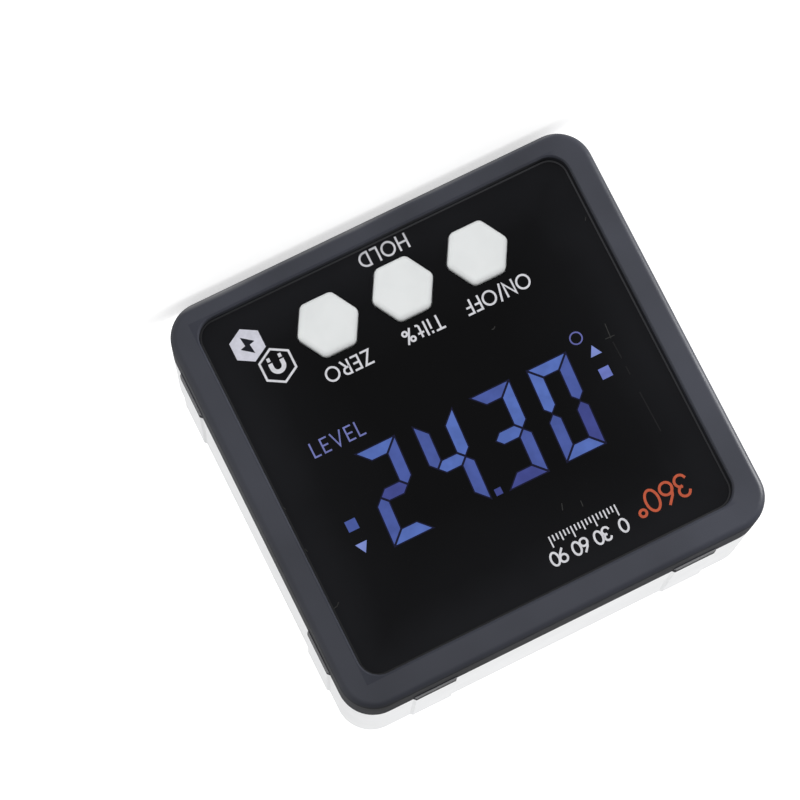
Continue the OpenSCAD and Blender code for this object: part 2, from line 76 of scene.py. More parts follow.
def noise(tree, size, detail=2.0, stretch=(1.0, 1.0, 1.0)):
    """Cloudy pattern with features of that size in millimetres. A small stretch draws them out."""
    place = tree.nodes.new("ShaderNodeTexCoord")
    mapping = tree.nodes.new("ShaderNodeMapping")
    mapping.inputs["Scale"].default_value = stretch
    texture = tree.nodes.new("ShaderNodeTexNoise")
    texture.inputs["Scale"].default_value = 1 / (size * MM)
    texture.inputs["Detail"].default_value = detail
    tree.links.new(place.outputs["Object"], mapping.inputs["Vector"])
    tree.links.new(mapping.outputs["Vector"], texture.inputs["Vector"])
    return texture.outputs["Fac"]


def tint(tree, value, target, *stops):
    """Colours the target socket by a value, through stops that each give a place and a colour."""
    ramp = tree.nodes.new("ShaderNodeValToRGB")
    elements = ramp.color_ramp.elements
    elements[0].position, elements[-1].position = stops[0][0], stops[-1][0]
    for stop in stops[1:-1]:
        elements.new(stop[0])
    for element, stop in zip(elements, stops):
        element.color = (*stop[1], 1.0)
    tree.links.new(value, ramp.inputs["Fac"])
    tree.links.new(ramp.outputs["Color"], target)


def spread(tree, value, first, last, low=0.0, high=1.0):
    """Carries a value from one range to another and holds it at the ends."""
    node = tree.nodes.new("ShaderNodeMapRange")
    node.inputs["From Min"].default_value = first
    node.inputs["From Max"].default_value = last
    node.inputs["To Min"].default_value = low
    node.inputs["To Max"].default_value = high
    tree.links.new(value, node.inputs["Value"])
    return node.outputs["Result"]


def reckon(tree, operation, *values):
    """One step of arithmetic on patterns, places and plain numbers."""
    node = tree.nodes.new("ShaderNodeMath")
    node.operation = operation
    for socket, value in zip(node.inputs, values):
        if isinstance(value, float):
            socket.default_value = value
        else:
            tree.links.new(value, socket)
    return node.outputs["Value"]


def place_on(tree):
    """The three coordinates of a point on the surface, in metres."""
    place = tree.nodes.new("ShaderNodeTexCoord")
    split = tree.nodes.new("ShaderNodeSeparateXYZ")
    tree.links.new(place.outputs["Object"], split.inputs["Vector"])
    return split.outputs


def relief(tree, shader, pattern, depth, strength=1.0):
    """Fine surface relief from a pattern, with a depth in millimetres."""
    bump = tree.nodes.new("ShaderNodeBump")
    bump.inputs["Distance"].default_value = depth * MM
    bump.inputs["Strength"].default_value = strength
    tree.links.new(pattern, bump.inputs["Height"])
    tree.links.new(bump.outputs["Normal"], shader.inputs["Normal"])


def shaded(name, dark, light, patch, rough, grain, depth,
           metallic=0.0, specular=0.5, stretch=(1.0, 1.0, 1.0)):
    """Surface with cloudy colour in patches, uneven gloss and a fine grain, all in millimetres."""
    made, tree, shader = start(name, metallic=metallic, specular=specular)
    tint(tree, noise(tree, patch), shader.inputs["Base Color"], (0.35, dark), (0.65, light))
    gloss = spread(tree, noise(tree, patch / 3, stretch=stretch), 0.3, 0.7, *rough)
    tree.links.new(gloss, shader.inputs["Roughness"])
    relief(tree, shader, noise(tree, grain, stretch=stretch), depth)
    return made, tree, shader


# The raised pads on the bezel's sides, in millimetres: their distance from the face and their height
PAD_FRONT = 5.4
PAD_RISE = 0.3


def charcoal_plastic():
    """Moulded plastic: satin face and dull sides in painted shade, with paler steps of the pads and foot as
    painted highlights.
    """
    made, tree, shader = start("charcoal_plastic", specular=0.32)
    x, y, z = place_on(tree)
    face = BEZEL_LOW.y

    def band(value, edge, first, last, high=1.0):
        """Rises from nothing between two distances from an edge, in millimetres."""
        return spread(tree, value, edge + first * MM, edge + last * MM, 0.0, high)

    def both(one, other):
        return reckon(tree, "MULTIPLY", one, other)

    def either(one, other):
        return reckon(tree, "MAXIMUM", one, other)

    # Painted shade: from 0.2 mm behind the face, the sides are coloured darker, as if in shadow
    sides = band(y, face, 0.2, 0.6)
    deep = band(y, face, 0.8, 1.2)
    raised = either(band(reckon(tree, "ABSOLUTE", x), BEZEL_HIGH.x, -0.9 * PAD_RISE, -0.6 * PAD_RISE),
                    band(z, BEZEL_HIGH.z, -0.9 * PAD_RISE, -0.6 * PAD_RISE))
    # Painted highlights: the pads' front steps and the rounded edge of the foot are coloured paler, where
    # light catches them
    step = both(raised, band(y, face, PAD_FRONT + 0.45, PAD_FRONT + 0.3))
    foot = reckon(tree, "SUBTRACT", band(z, BEZEL_LOW.z, 0.8, 0.3, high=0.35), deep)
    cloud = spread(tree, noise(tree, 14), 0.3, 0.7, 0.22, 0.50)
    tone = reckon(tree, "ADD", reckon(tree, "SUBTRACT", cloud, both(sides, 0.25)), either(step, foot))
    # The palest stops are the painted highlights of the pad steps and foot; the darkest are the painted
    # shade of the sides
    tint(tree, tone, shader.inputs["Base Color"],
         (0.0, (0.006, 0.0065, 0.0090)), (0.25, (0.0172, 0.0189, 0.0270)), (0.5, (0.0268, 0.0292, 0.0405)),
         (0.75, (0.100, 0.102, 0.110)), (1.0, (0.28, 0.28, 0.29)))

    # Dull are the sides but for the left edge, what lies deep, and the opening's lip but for its left
    away = band(x, BEZEL_LOW.x, 0.5, 1.3)
    lip = both(both(band(x, PANEL_HIGH.x, 0.5, 0.35), band(x, PANEL_LOW.x, 0.0, 1.0)),
               both(band(z, PANEL_HIGH.z, 0.5, 0.35), band(z, PANEL_LOW.z, -0.5, -0.35)))
    dull = either(both(sides, away), either(deep, lip))
    gloss = reckon(tree, "ADD", spread(tree, noise(tree, 3), 0.3, 0.7, 0.34, 0.44), both(dull, 0.46))
    tree.links.new(gloss, shader.inputs["Roughness"])
    relief(tree, shader, noise(tree, 0.16), 0.006)
    return made


def silver_alloy():
    """Bead-blasted and anodised light alloy."""
    return shaded("silver_alloy", (0.755, 0.760, 0.768), (0.785, 0.790, 0.798), patch=7,
                  rough=(0.52, 0.64), grain=0.09, depth=0.004, metallic=0.1, specular=0.3)[0]


def black_window():
    """Glossy black window, a shade paler towards its edge, with a trace of smears."""
    made, tree, shader = start("black_window", specular=0.05)
    x, y, z = place_on(tree)
    middle = (PANEL_LOW + PANEL_HIGH) / 2
    half = (PANEL_HIGH - PANEL_LOW) / 2
    across = reckon(tree, "DIVIDE", reckon(tree, "ABSOLUTE", x), half.x)
    along = reckon(tree, "DIVIDE", reckon(tree, "ABSOLUTE", reckon(tree, "SUBTRACT", z, middle.z)), half.z)
    cloud = spread(tree, noise(tree, 12), 0.3, 0.7, -0.06, 0.06)
    edge = reckon(tree, "ADD", reckon(tree, "MAXIMUM", across, along), cloud)
    tint(tree, edge, shader.inputs["Base Color"],
         (0.4, (0.0014, 0.0014, 0.0018)), (0.75, (0.0036, 0.0037, 0.0046)), (1.0, (0.0092, 0.0095, 0.0115)))
    tree.links.new(spread(tree, noise(tree, 5), 0.3, 0.7, 0.05, 0.10), shader.inputs["Roughness"])
    relief(tree, shader, noise(tree, 5), 0.002)
    return made


def white_key():
    """Satin white plastic of the keys."""
    return shaded("white_key", (0.77, 0.79, 0.79), (0.81, 0.83, 0.83), patch=4,
                  rough=(0.34, 0.42), grain=0.12, depth=0.003)[0]


def plunger_plastic():
    """Red moulded plunger of a switch."""
    return shaded("plunger_plastic", (0.40, 0.05, 0.03), (0.48, 0.07, 0.04), patch=1.5,
                  rough=(0.35, 0.45), grain=0.1, depth=0.003)[0]


def black_plastic():
    """Matt black moulding of switches and chips."""
    return shaded("black_plastic", (0.012, 0.012, 0.014), (0.019, 0.019, 0.021), patch=2,
                  rough=(0.50, 0.62), grain=0.08, depth=0.004)[0]


def display_glass():
    """Dark glass of the display."""
    return shaded("display_glass", (0.010, 0.012, 0.018), (0.014, 0.017, 0.024), patch=12,
                  rough=(0.03, 0.06), grain=6, depth=0.001)[0]


def clear_plastic():
    """Clear moulded block of the light guide."""
    made, tree, shader = shaded("clear_plastic", (0.72, 0.80, 0.90), (0.78, 0.85, 0.93), patch=6,
                                rough=(0.05, 0.12), grain=1.2, depth=0.002)
    shader.inputs["Transmission Weight"].default_value = 0.85
    shader.inputs["IOR"].default_value = 1.49
    return made


def white_plastic():
    """Off-white moulding of the display's holder and lamps."""
    return shaded("white_plastic", (0.68, 0.68, 0.63), (0.74, 0.74, 0.70), patch=5,
                  rough=(0.42, 0.52), grain=0.12, depth=0.004)[0]


def stripes(tree, size):
    """Bands across X of that width in millimetres."""
    place = tree.nodes.new("ShaderNodeTexCoord")
    wave = tree.nodes.new("ShaderNodeTexWave")
    wave.inputs["Scale"].default_value = 0.5 / (size * MM) / math.pi
    tree.links.new(place.outputs["Object"], wave.inputs["Vector"])
    return wave.outputs["Fac"]


def contact_rubber():
    """Pink silicone strip with dark conducting layers."""
    made, tree, shader = start("contact_rubber", roughness=0.6)
    tint(tree, stripes(tree, 0.2), shader.inputs["Base Color"],
         (0.35, (0.03, 0.03, 0.03)), (0.65, (0.55, 0.35, 0.38)))
    relief(tree, shader, noise(tree, 0.3), 0.01)
    return made


def board_laminate():
    """Green solder mask over the copper tracks of the circuit board."""
    made, tree, shader = start("board_laminate")
    place = tree.nodes.new("ShaderNodeTexCoord")
    tracks = tree.nodes.new("ShaderNodeTexVoronoi")
    tracks.feature = "DISTANCE_TO_EDGE"
    tracks.inputs["Scale"].default_value = 1 / (2.2 * MM)
    tree.links.new(place.outputs["Object"], tracks.inputs["Vector"])
    tint(tree, tracks.outputs["Distance"], shader.inputs["Base Color"],
         (0.05, (0.02, 0.16, 0.07)), (0.12, (0.006, 0.07, 0.03)))
    tree.links.new(spread(tree, noise(tree, 3), 0.3, 0.7, 0.25, 0.35), shader.inputs["Roughness"])
    relief(tree, shader, tracks.outputs["Distance"], 0.03, 0.3)
    return made


def cell_foil():
    """Soft foil pouch with shallow creases."""
    return shaded("cell_foil", (0.58, 0.59, 0.61), (0.66, 0.67, 0.69), patch=8,
                  rough=(0.26, 0.40), grain=2.4, depth=0.12, metallic=1.0)[0]


def bright_steel():
    """Nickel-plated steel with fine lines along X."""
    return shaded("bright_steel", (0.50, 0.51, 0.52), (0.60, 0.61, 0.62), patch=3,
                  rough=(0.22, 0.34), grain=0.08, depth=0.003, metallic=1.0, stretch=(0.15, 1.0, 1.0))[0]


def magnet_plate():
    """Nickel plating of the magnets, a little clouded."""
    return shaded("magnet_plate", (0.52, 0.52, 0.51), (0.64, 0.64, 0.63), patch=2.5,
                  rough=(0.16, 0.30), grain=0.3, depth=0.003, metallic=1.0)[0]


def seal_rubber():
    """Matt black silicone."""
    return shaded("seal_rubber", (0.008, 0.008, 0.009), (0.014, 0.014, 0.015), patch=2,
                  rough=(0.65, 0.80), grain=0.1, depth=0.006)[0]


def ink(name, colour, specular=0.5):
    """Screen-printed ink, a little thinner in places."""
    thin = [0.88 * part for part in colour]
    return shaded(name, thin, colour, patch=0.7,
                  rough=(0.45, 0.55), grain=0.06, depth=0.003, specular=specular)[0]


def lit(name, colour, strength):
    """Lit part of the display behind the glossy window: dark itself, with an uneven glow."""
    made, tree, shader = start(name, roughness=0.08, specular=0.06)
    shader.inputs["Base Color"].default_value = (0.003, 0.003, 0.004, 1.0)
    shader.inputs["Emission Strength"].default_value = strength
    dimmer = [0.84 * part for part in colour]
    tint(tree, noise(tree, 1.6), shader.inputs["Emission Color"], (0.35, dimmer), (0.65, colour))
    return made


NODE_FINISH = {
    charcoal_plastic: ["front_bezel"],
    silver_alloy: ["body_frame", "rear_cover"],
    black_window: ["front_window"],
    white_key: ["on_off_button", "hold_button", "zero_button"],
    plunger_plastic: ["on_off_plunger", "hold_plunger", "zero_plunger"],
    black_plastic: ["key_switches", "controller_chip", "tilt_sensor", "charger_chip"],
    display_glass: ["lcd_glass"],
    clear_plastic: ["lcd_light_guide"],
    white_plastic: ["lcd_holder", "lcd_lamps"],
    contact_rubber: ["lcd_contact_strip"],
    board_laminate: ["main_board"],
    cell_foil: ["battery_cell"],
    bright_steel: ["charging_socket", "case_screws", "holder_screws"],
    magnet_plate: ["base_magnets"],
    seal_rubber: ["front_seal", "rear_seal"],
}
for finish, names in NODE_FINISH.items():
    made = finish()
    for name in names:
        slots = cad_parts[name].data.materials
        slots.clear()
        slots.append(made)


# Flat shapes on the window, each a thin solid

def panel_point(point, y):
    return Vector((point[0] * MM, y, point[1] * MM))


def ink_front(layer):
    """The front of the ink. Shapes that overlap lie on different layers."""
    return PANEL_Y - INK_PROUD - layer * INK_LAYER


def add_prism(bm, outline, layer=0):
    """A filled outline."""
    front = [bm.verts.new(panel_point(p, ink_front(layer))) for p in outline]
    back = [bm.verts.new(panel_point(p, PANEL_Y + INK_SUNK)) for p in outline]
    bm.faces.new(front)
    bm.faces.new(back)
    for i in range(len(outline)):
        bm.faces.new((front[i - 1], front[i], back[i], back[i - 1]))


def edge_points(points, width, closed):
    """The two edges of a stroke along the points, mitred where it turns."""
    count = len(points)
    left, right = [], []
    for i, point in enumerate(points):
        before = points[i - 1] if closed or i > 0 else None
        after = points[(i + 1) % count] if closed or i < count - 1 else None
        ways = [(point - before).normalized()] if before is not None else []
        ways += [(after - point).normalized()] if after is not None else []
        sides = [Vector((-way.y, way.x)) for way in ways]
        middle = sum(sides, Vector((0, 0))).normalized()
        reach = width / 2 / max(middle.dot(sides[0]), 0.4)
        left.append(point + middle * reach)
        right.append(point - middle * reach)
    return left, right


def add_stroke(bm, points, width, closed=False, layer=0, sunk=INK_SUNK):
    """A line of that width, with square ends that reach half a width past it."""
    points = [Vector(p) for p in points]
    if not closed:
        points[0] = points[0] + (points[0] - points[1]).normalized() * width / 2
        points[-1] = points[-1] + (points[-1] - points[-2]).normalized() * width / 2
    front, back = ink_front(layer), PANEL_Y + sunk
    rows = []
    for left, right in zip(*edge_points(points, width, closed)):
        rows.append([bm.verts.new(panel_point(*at)) for at in (
            (left, front), (right, front), (right, back), (left, back))])
    for i in range(0 if closed else 1, len(rows)):
        for k in range(4):
            bm.faces.new((rows[i - 1][k - 1], rows[i - 1][k], rows[i][k], rows[i][k - 1]))
    if not closed:
        bm.faces.new(rows[0])
        bm.faces.new(rows[-1])


def print_piece(name, bm, made):
    """Turns the collected shapes into one piece on the case."""
    bmesh.ops.recalc_face_normals(bm, faces=bm.faces)
    mesh = bpy.data.meshes.new(name)
    bm.to_mesh(mesh)
    bm.free()
    mesh.materials.append(made)
    piece = bpy.data.objects.new(name, mesh)
    scene.collection.objects.link(piece)
    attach(piece, "case")
    return piece


def arc(centre, radius, first, last, steps=12):
    """Points on an arc between two angles in degrees."""
    angles = [math.radians(first + (last - first) * i / steps) for i in range(steps + 1)]
    return [(centre[0] + radius * math.cos(a), centre[1] + radius * math.sin(a)) for a in angles]


def ring(centre, radius, steps=32):
    return arc(centre, radius, 0, 360, steps)[:-1]


def hexagon(centre, radius, turn=30):
    return [(centre[0] + radius * math.cos(math.radians(turn + 60 * i)),
             centre[1] + radius * math.sin(math.radians(turn + 60 * i))) for i in range(6)]


def square(centre, side):
    corners = ((-1, -1), (1, -1), (1, 1), (-1, 1))
    return [(centre[0] + x * side / 2, centre[1] + z * side / 2) for x, z in corners]


def triangle(centre, width, height):
    """Points up for a positive height and down for a negative one."""
    return [(centre[0] - width / 2, centre[1] - height / 2), (centre[0] + width / 2, centre[1] - height / 2),
            (centre[0], centre[1] + height / 2)]


def oval(centre, half_w, half_h, steps=24):
    return [(centre[0] + half_w * x, centre[1] + half_h * z) for x, z in ring((0, 0), 1, steps)]


# Plain round letters of even stroke: width, open lines and closed lines, all as shares of the capital height
LETTERS = {
    "D": (0.70, [], [[(0, 0), (0, 1)] + arc((0.20, 0.5), 0.5, 90, -90)]),
    "E": (0.44, [[(0.44, 1), (0, 1), (0, 0), (0.44, 0)], [(0.1, 0.5), (0.39, 0.5)]], []),
    "F": (0.40, [[(0, 0), (0, 1), (0.40, 1)], [(0.1, 0.5), (0.34, 0.5)]], []),
    "H": (0.66, [[(0, 0), (0, 1)], [(0.66, 0), (0.66, 1)], [(0.1, 0.5), (0.56, 0.5)]], []),
    "L": (0.42, [[(0, 1), (0, 0), (0.42, 0)]], []),
    "N": (0.66, [[(0, 0), (0, 1), (0.66, 0), (0.66, 1)]], []),
    "O": (0.95, [], [oval((0.475, 0.5), 0.475, 0.5, 32)]),
    "R": (0.50, [[(0, 0), (0, 1)] + arc((0.24, 0.75), 0.25, 90, -90) + [(0.08, 0.5)],
                 [(0.26, 0.42), (0.50, 0)]], []),
    "T": (0.58, [[(0, 1), (0.58, 1)], [(0.29, 0.9), (0.29, 0)]], []),
    "V": (0.70, [[(0, 1), (0.35, 0), (0.70, 1)]], []),
    "Z": (0.56, [[(0, 1), (0.56, 1), (0, 0), (0.56, 0)]], []),
    "i": (0.0, [[(0, 0), (0, 0.62)], [(0, 0.94), (0, 0.98)]], []),
    "l": (0.0, [[(0, 0), (0, 1)]], []),
    "t": (0.28, [[(0.09, 0.92), (0.09, 0.2)] + arc((0.25, 0.18), 0.16, 180, 270, 6),
                 [(-0.06, 0.64), (0.26, 0.64)]], []),
    "%": (0.74, [[(0.14, 0), (0.60, 1)]], [ring((0.16, 0.78), 0.17, 16), ring((0.58, 0.22), 0.17, 16)]),
    "/": (0.26, [[(0, -0.08), (0.26, 1.08)]], []),
    "0": (0.62, [], [oval((0.31, 0.5), 0.31, 0.5)]),
    "3": (0.54, [arc((0.27, 0.75), 0.25, 160, -80), arc((0.27, 0.26), 0.27, 80, -160)], []),
    "6": (0.58, [[(0.04, 0.40), (0.14, 0.68), (0.40, 1)]], [ring((0.29, 0.29), 0.29, 24)]),
    "9": (0.58, [[(0.54, 0.60), (0.44, 0.32), (0.18, 0)]], [ring((0.29, 0.71), 0.29, 24)]),
    "\u00b0": (0.30, [], [ring((0.15, 0.84), 0.16, 16)]),
}


def add_word(bm, text, left, right, foot, height, stroke, turned=False):
    """A word between two places, with its letters spaced to fill them. Turned words stand on their heads."""
    size = height - stroke
    letters = [LETTERS[letter] for letter in text]
    drawn = sum(letter[0] * size + stroke for letter in letters)
    space = (right - left - drawn) / max(len(letters) - 1, 1)
    x = left + stroke / 2

    def place(point):
        at = (x + point[0] * size, foot + stroke / 2 + point[1] * size)
        return (left + right - at[0], 2 * foot + height - at[1]) if turned else at

    for width, lines, loops in letters:
        for layer, points in enumerate(lines + loops):
            add_stroke(bm, [place(p) for p in points], stroke, closed=layer >= len(lines), layer=layer)
        x += width * size + stroke + space


# Words at the keys: key, shift of their foot from the key's middle, and width
KEY_WORDS = {
    "ON/OFF": ("on_off_button", 4.53, 8.55),
    "Tilt%": ("hold_button", 4.51, 5.25),
    "ZERO": ("zero_button", 4.57, 6.05),
    "HOLD": ("hold_button", -6.15, 6.4),
}
WORD_HEIGHT = 1.92
WORD_STROKE = 0.25
white_ink = ink("white_ink", (0.70, 0.70, 0.74))
words = bmesh.new()
for text, (key, rise, width) in KEY_WORDS.items():
    low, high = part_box(key)
    key_x = (low.x + high.x) / 2 / MM
    key_z = (low.z + high.z) / 2 / MM
    add_word(words, text, key_x - width / 2, key_x + width / 2, key_z + rise, WORD_HEIGHT, WORD_STROKE)
print_piece("key_words", words, white_ink)

# Two six-sided signs beside the keys: a plain magnet in an outline, and a plain charging bolt on a field
SIGN_R = 2.19
SIGN_LINE = 0.27
MAGNET_AT = (17.23, 11.94)
MAGNET_R = 0.74
MAGNET_BAR = 0.54
MAGNET_LEG = 0.3
POLE_FROM = 1.08
POLE_TO = 1.0
POLE_BAR = 0.75 * MAGNET_BAR
FIELD_AT = (19.38, 8.18)
FIELD_R = 2.17
BOLT = [(-0.44, 1.24), (0.98, 0.14), (0.28, -0.04), (0.44, -1.24), (-0.98, -0.14), (-0.28, 0.04)]
signs = bmesh.new()
add_stroke(signs, hexagon(MAGNET_AT, SIGN_R), SIGN_LINE, closed=True)
arch = arc(MAGNET_AT, MAGNET_R, 0, 180, 16)
legs = [(x, z - MAGNET_LEG) for x, z in (arch[0], arch[-1])]
add_stroke(signs, [legs[0]] + arch + [legs[1]], MAGNET_BAR)
for side in (-1, 1):
    x = MAGNET_AT[0] + side * MAGNET_R
    add_stroke(signs, [(x, MAGNET_AT[1] - POLE_FROM), (x, MAGNET_AT[1] - POLE_TO)], POLE_BAR)
print_piece("magnet_sign", signs, white_ink)

pale_ink = ink("pale_ink", (0.68, 0.68, 0.77))
dark_ink = ink("dark_ink", (0.013, 0.014, 0.021), specular=0.06)
field = bmesh.new()
add_prism(field, hexagon(FIELD_AT, FIELD_R))
print_piece("charge_field", field, pale_ink)
bolt = bmesh.new()
add_prism(bolt, [(FIELD_AT[0] + x, FIELD_AT[1] + z) for x, z in BOLT], layer=2)
print_piece("charge_bolt", bolt, dark_ink)

# The lit display, which shows its numerals turned over because the gauge reads upside down
DISPLAY_AT = (0.19, 31.52)
DIGIT_W = 5.32
DIGIT_H = 12.02
DIGIT_BAR = 1.66
DIGIT_GAP = 0.27
DIGIT_PITCH = 7.57
DIGIT_SLANT = 0.054
STRAY_REACH = 0.16
SQUARE_SIDE = 1.36
LEFT_SQUARE_AT = (-17.24, 29.85)
RIGHT_SQUARE_AT = (17.83, 32.95)
POINT_AT = (0.57, 37.0)
POINT_SIDE = 0.85


def inset(outline, distance):
    """A convex outline, given clockwise, with every side moved in by that distance."""
    points = [Vector(p) for p in outline]
    moved = []
    for i, point in enumerate(points):
        ahead = (points[(i + 1) % len(points)] - point).normalized()
        behind = (point - points[i - 1]).normalized()
        inward = [Vector((way.y, -way.x)) for way in (behind, ahead)]
        middle = (inward[0] + inward[1]).normalized()
        moved.append(point + middle * distance / middle.dot(inward[0]))
    return moved


def bar_outlines(gap):
    """The seven bars of a numeral about its middle: a on top, clockwise to f, and g in the middle."""
    w, h, t = DIGIT_W / 2, DIGIT_H / 2, DIGIT_BAR
    top = [(-w, h), (w, h), (w - t, h - t), (t - w, h - t)]
    right = [(w, h), (w, t / 2), (w - t / 2, 0), (w - t, t / 2), (w - t, h - t)]
    middle = [(t / 2 - w, 0), (t - w, t / 2), (w - t, t / 2),
              (w - t / 2, 0), (w - t, -t / 2), (t - w, -t / 2)]
    top, right, middle = (inset(outline, gap / 2) for outline in (top, right, middle))

    def mirror(outline, x, z):
        return [(x * p[0], z * p[1]) for p in outline]

    return {"a": top, "b": right, "c": mirror(right, 1, -1), "d": mirror(top, 1, -1),
            "e": mirror(right, -1, -1), "f": mirror(right, -1, 1), "g": middle}


def add_bar(bm, place, outline, layer):
    """A bar of the numeral at that place, leaned over and set on the display upside down."""
    x = DISPLAY_AT[0] - (place - 1.5) * DIGIT_PITCH
    add_prism(bm, [(x - p[0] - p[1] * DIGIT_SLANT, DISPLAY_AT[1] - p[1]) for p in outline], layer)


# Numerals from left to right as they are read, with their bars in the order bright, half bright and dim
NUMERALS = [("ad", "be", "g"), ("bg", "cf", ""), ("bg", "ac", "d"), ("adf", "be", "c")]
GLOW = [
    lit("glow_bright", (0.090, 0.155, 0.475), 1.0),
    lit("glow_half", (0.066, 0.102, 0.350), 1.0),
    lit("glow_dim", (0.052, 0.066, 0.265), 1.0),
]
bars = bar_outlines(DIGIT_GAP)
for level, name in enumerate(("digits_bright", "digits_half", "digits_dim")):
    shapes = bmesh.new()
    for place, numeral in enumerate(NUMERALS):
        for bar in numeral[level]:
            add_bar(shapes, place, bars[bar], layer=1)
    if name == "digits_half":
        add_prism(shapes, square(RIGHT_SQUARE_AT, SQUARE_SIDE), layer=1)
    if name == "digits_dim":
        add_prism(shapes, square(POINT_AT, POINT_SIDE), layer=1)
    print_piece(name, shapes, GLOW[level])

# Stray light of the display, which fills the gaps between the bars
wide_bars = bar_outlines(DIGIT_GAP - 2 * STRAY_REACH)
stray = bmesh.new()
for place, numeral in enumerate(NUMERALS):
    for step, bar in enumerate("".join(numeral)):
        add_bar(stray, place, wide_bars[bar], layer=step / 10)
print_piece("display_stray", stray, lit("glow_stray", (0.005, 0.005, 0.024), 1.0))

# Signs round the numerals: the arrows that say which way to turn, the degree ring and the word for level
marks = bmesh.new()
add_prism(marks, square(LEFT_SQUARE_AT, SQUARE_SIDE))
print_piece("turn_square", marks, lit("glow_square", (0.15, 0.19, 0.53), 1.0))

ARROWS = [((-17.23, 26.85), 1.46, -1.32), ((17.8, 35.95), 1.5, 1.33)]
arrows = bmesh.new()
for centre, width, height in ARROWS:
    add_prism(arrows, triangle(centre, width, height))
print_piece("turn_arrows", arrows, lit("glow_arrow", (0.21, 0.27, 0.62), 1.0))

DEGREE_AT = (-15.97, 24.62)
DEGREE_R = 0.73
DEGREE_LINE = 0.17
degree = bmesh.new()
add_stroke(degree, ring(DEGREE_AT, DEGREE_R), DEGREE_LINE, closed=True)
print_piece("degree_ring", degree, lit("glow_ring", (0.13, 0.14, 0.40), 1.0))

LEVEL_LEFT = 11.42
LEVEL_RIGHT = 18.22
LEVEL_FOOT = 22.02
LEVEL_STROKE = 0.2
level = bmesh.new()
add_word(level, "LEVEL", LEVEL_LEFT, LEVEL_RIGHT, LEVEL_FOOT, WORD_HEIGHT, LEVEL_STROKE, turned=True)
print_piece("level_word", level, lit("glow_pale", (0.17, 0.19, 0.46), 1.0))

# Generic marks in the upper corner: the full circle in degrees, and a short scale of angles
MARKS_FOOT = 44.5
TURN_LEFT = -20.05
TURN_RIGHT = -13.0
TURN_HEIGHT = 2.95
TURN_STROKE = 0.32
orange_ink = ink("orange_ink", (0.52, 0.070, 0.014))
turn = bmesh.new()
add_word(turn, "360\u00b0", TURN_LEFT, TURN_RIGHT, MARKS_FOOT, TURN_HEIGHT, TURN_STROKE)
print_piece("turn_numerals", turn, orange_ink)

SCALE_FROM = -10.9
SCALE_STEP = 0.48
SCALE_LINES = 19
SCALE_STROKE = 0.17
LONG_LINE = 1.25
MIDDLE_LINE = 0.95
SHORT_LINE = 0.6
NUMBER_FOOT = 46.2
NUMBER_HEIGHT = 1.85
NUMBER_STROKE = 0.26
NUMBER_HALF = 0.56
scale = bmesh.new()
for i in range(SCALE_LINES):
    x = SCALE_FROM + SCALE_STEP * i
    length = LONG_LINE if i % 6 == 0 else MIDDLE_LINE if i % 3 == 0 else SHORT_LINE
    add_stroke(scale, [(x, MARKS_FOOT), (x, MARKS_FOOT + length)], SCALE_STROKE)
    if i % 6 == 0:
        number = str(5 * i)
        half = NUMBER_HALF * len(number)
        add_word(scale, number, x - half, x + half, NUMBER_FOOT, NUMBER_HEIGHT, NUMBER_STROKE)
print_piece("scale_mark", scale, white_ink)

# A painted highlight along the window's edge: a grey line, brightest at the left and the bottom, where the
# light falls
EDGE_IN = 0.11
EDGE_W = 0.22
EDGE_R = 2.3
EDGE_DEEP = 0.3 * MM


def rounded_outline(low, high, radius):
    """Rounded rectangle between two corners."""
    middle = (low + high) / 2
    points = []
    for x, z, first in ((1, 1, 0), (-1, 1, 90), (-1, -1, 180), (1, -1, 270)):
        reach = (high - low) / 2 - Vector((radius, radius))
        points += arc((middle.x + x * reach.x, middle.y + z * reach.y), radius, first, first + 90, 10)
    return points


def painted_edge_highlight():
    """Matt grey of a painted highlight, which darkens from the lower left to the upper right, away from the
    light.
    """
    made, tree, shader = start("painted_edge_highlight", roughness=0.5, specular=0.2)
    x, y, z = place_on(tree)
    tone = reckon(tree, "ADD", x, z)
    tint(tree, spread(tree, tone, 0.0, 0.05), shader.inputs["Base Color"],
         (0.0, (0.050, 0.051, 0.056)), (1.0, (0.014, 0.0145, 0.016)))
    relief(tree, shader, noise(tree, 0.2), 0.004)
    return made


edge = bmesh.new()
low, high = (Vector((corner.x, corner.z)) / MM for corner in (PANEL_LOW, PANEL_HIGH))
inward = Vector((EDGE_IN, EDGE_IN))
add_stroke(edge, rounded_outline(low + inward, high - inward, EDGE_R), EDGE_W, closed=True, sunk=EDGE_DEEP)
print_piece("window_edge_highlight", edge, painted_edge_highlight())

# Dust and lint on the window, and the faint side of the display behind it
DUST = [
    [(-7.95, 19.1), (-7.7, 19.3), (-7.5, 19.25)],
    [(-20.2, 26.3), (-19.1, 26.25)],
    [(-19.85, 24.6), (-19.7, 26.4)],
    [(24.05, 40.85), (23.6, 40.75), (23.3, 40.45)],
    [(-5.45, 41.6), (-5.2, 42.3)],
    [(-7.6, 42.3), (-7.55, 42.95)],
    [(24.1, 27.5), (24.0, 27.8)],
    [(24.0, 33.1), (23.9, 33.4)],
    [(-23.7, 12.0), (-23.5, 12.3)],
]
DUST_WIDTH = 0.1
dust = bmesh.new()
for layer, line in enumerate(DUST):
    add_stroke(dust, line, DUST_WIDTH, layer=layer)
print_piece("dust", dust, ink("dust", (0.036, 0.036, 0.035), specular=0.1))

FAINT_LINES = [
    [(-19.7, 27.0), (-19.75, 29.1)],
    [(-19.75, 30.3), (-19.75, 31.3)],
    [(-19.8, 33.8), (-19.9, 39.0)],
]
FAINT_WIDTH = 0.14
faint = bmesh.new()
for line in FAINT_LINES:
    add_stroke(faint, line, FAINT_WIDTH)
print_piece("display_side", faint, ink("faint_line", (0.015, 0.015, 0.016), specular=0.06))


# Studio: floor, light and camera

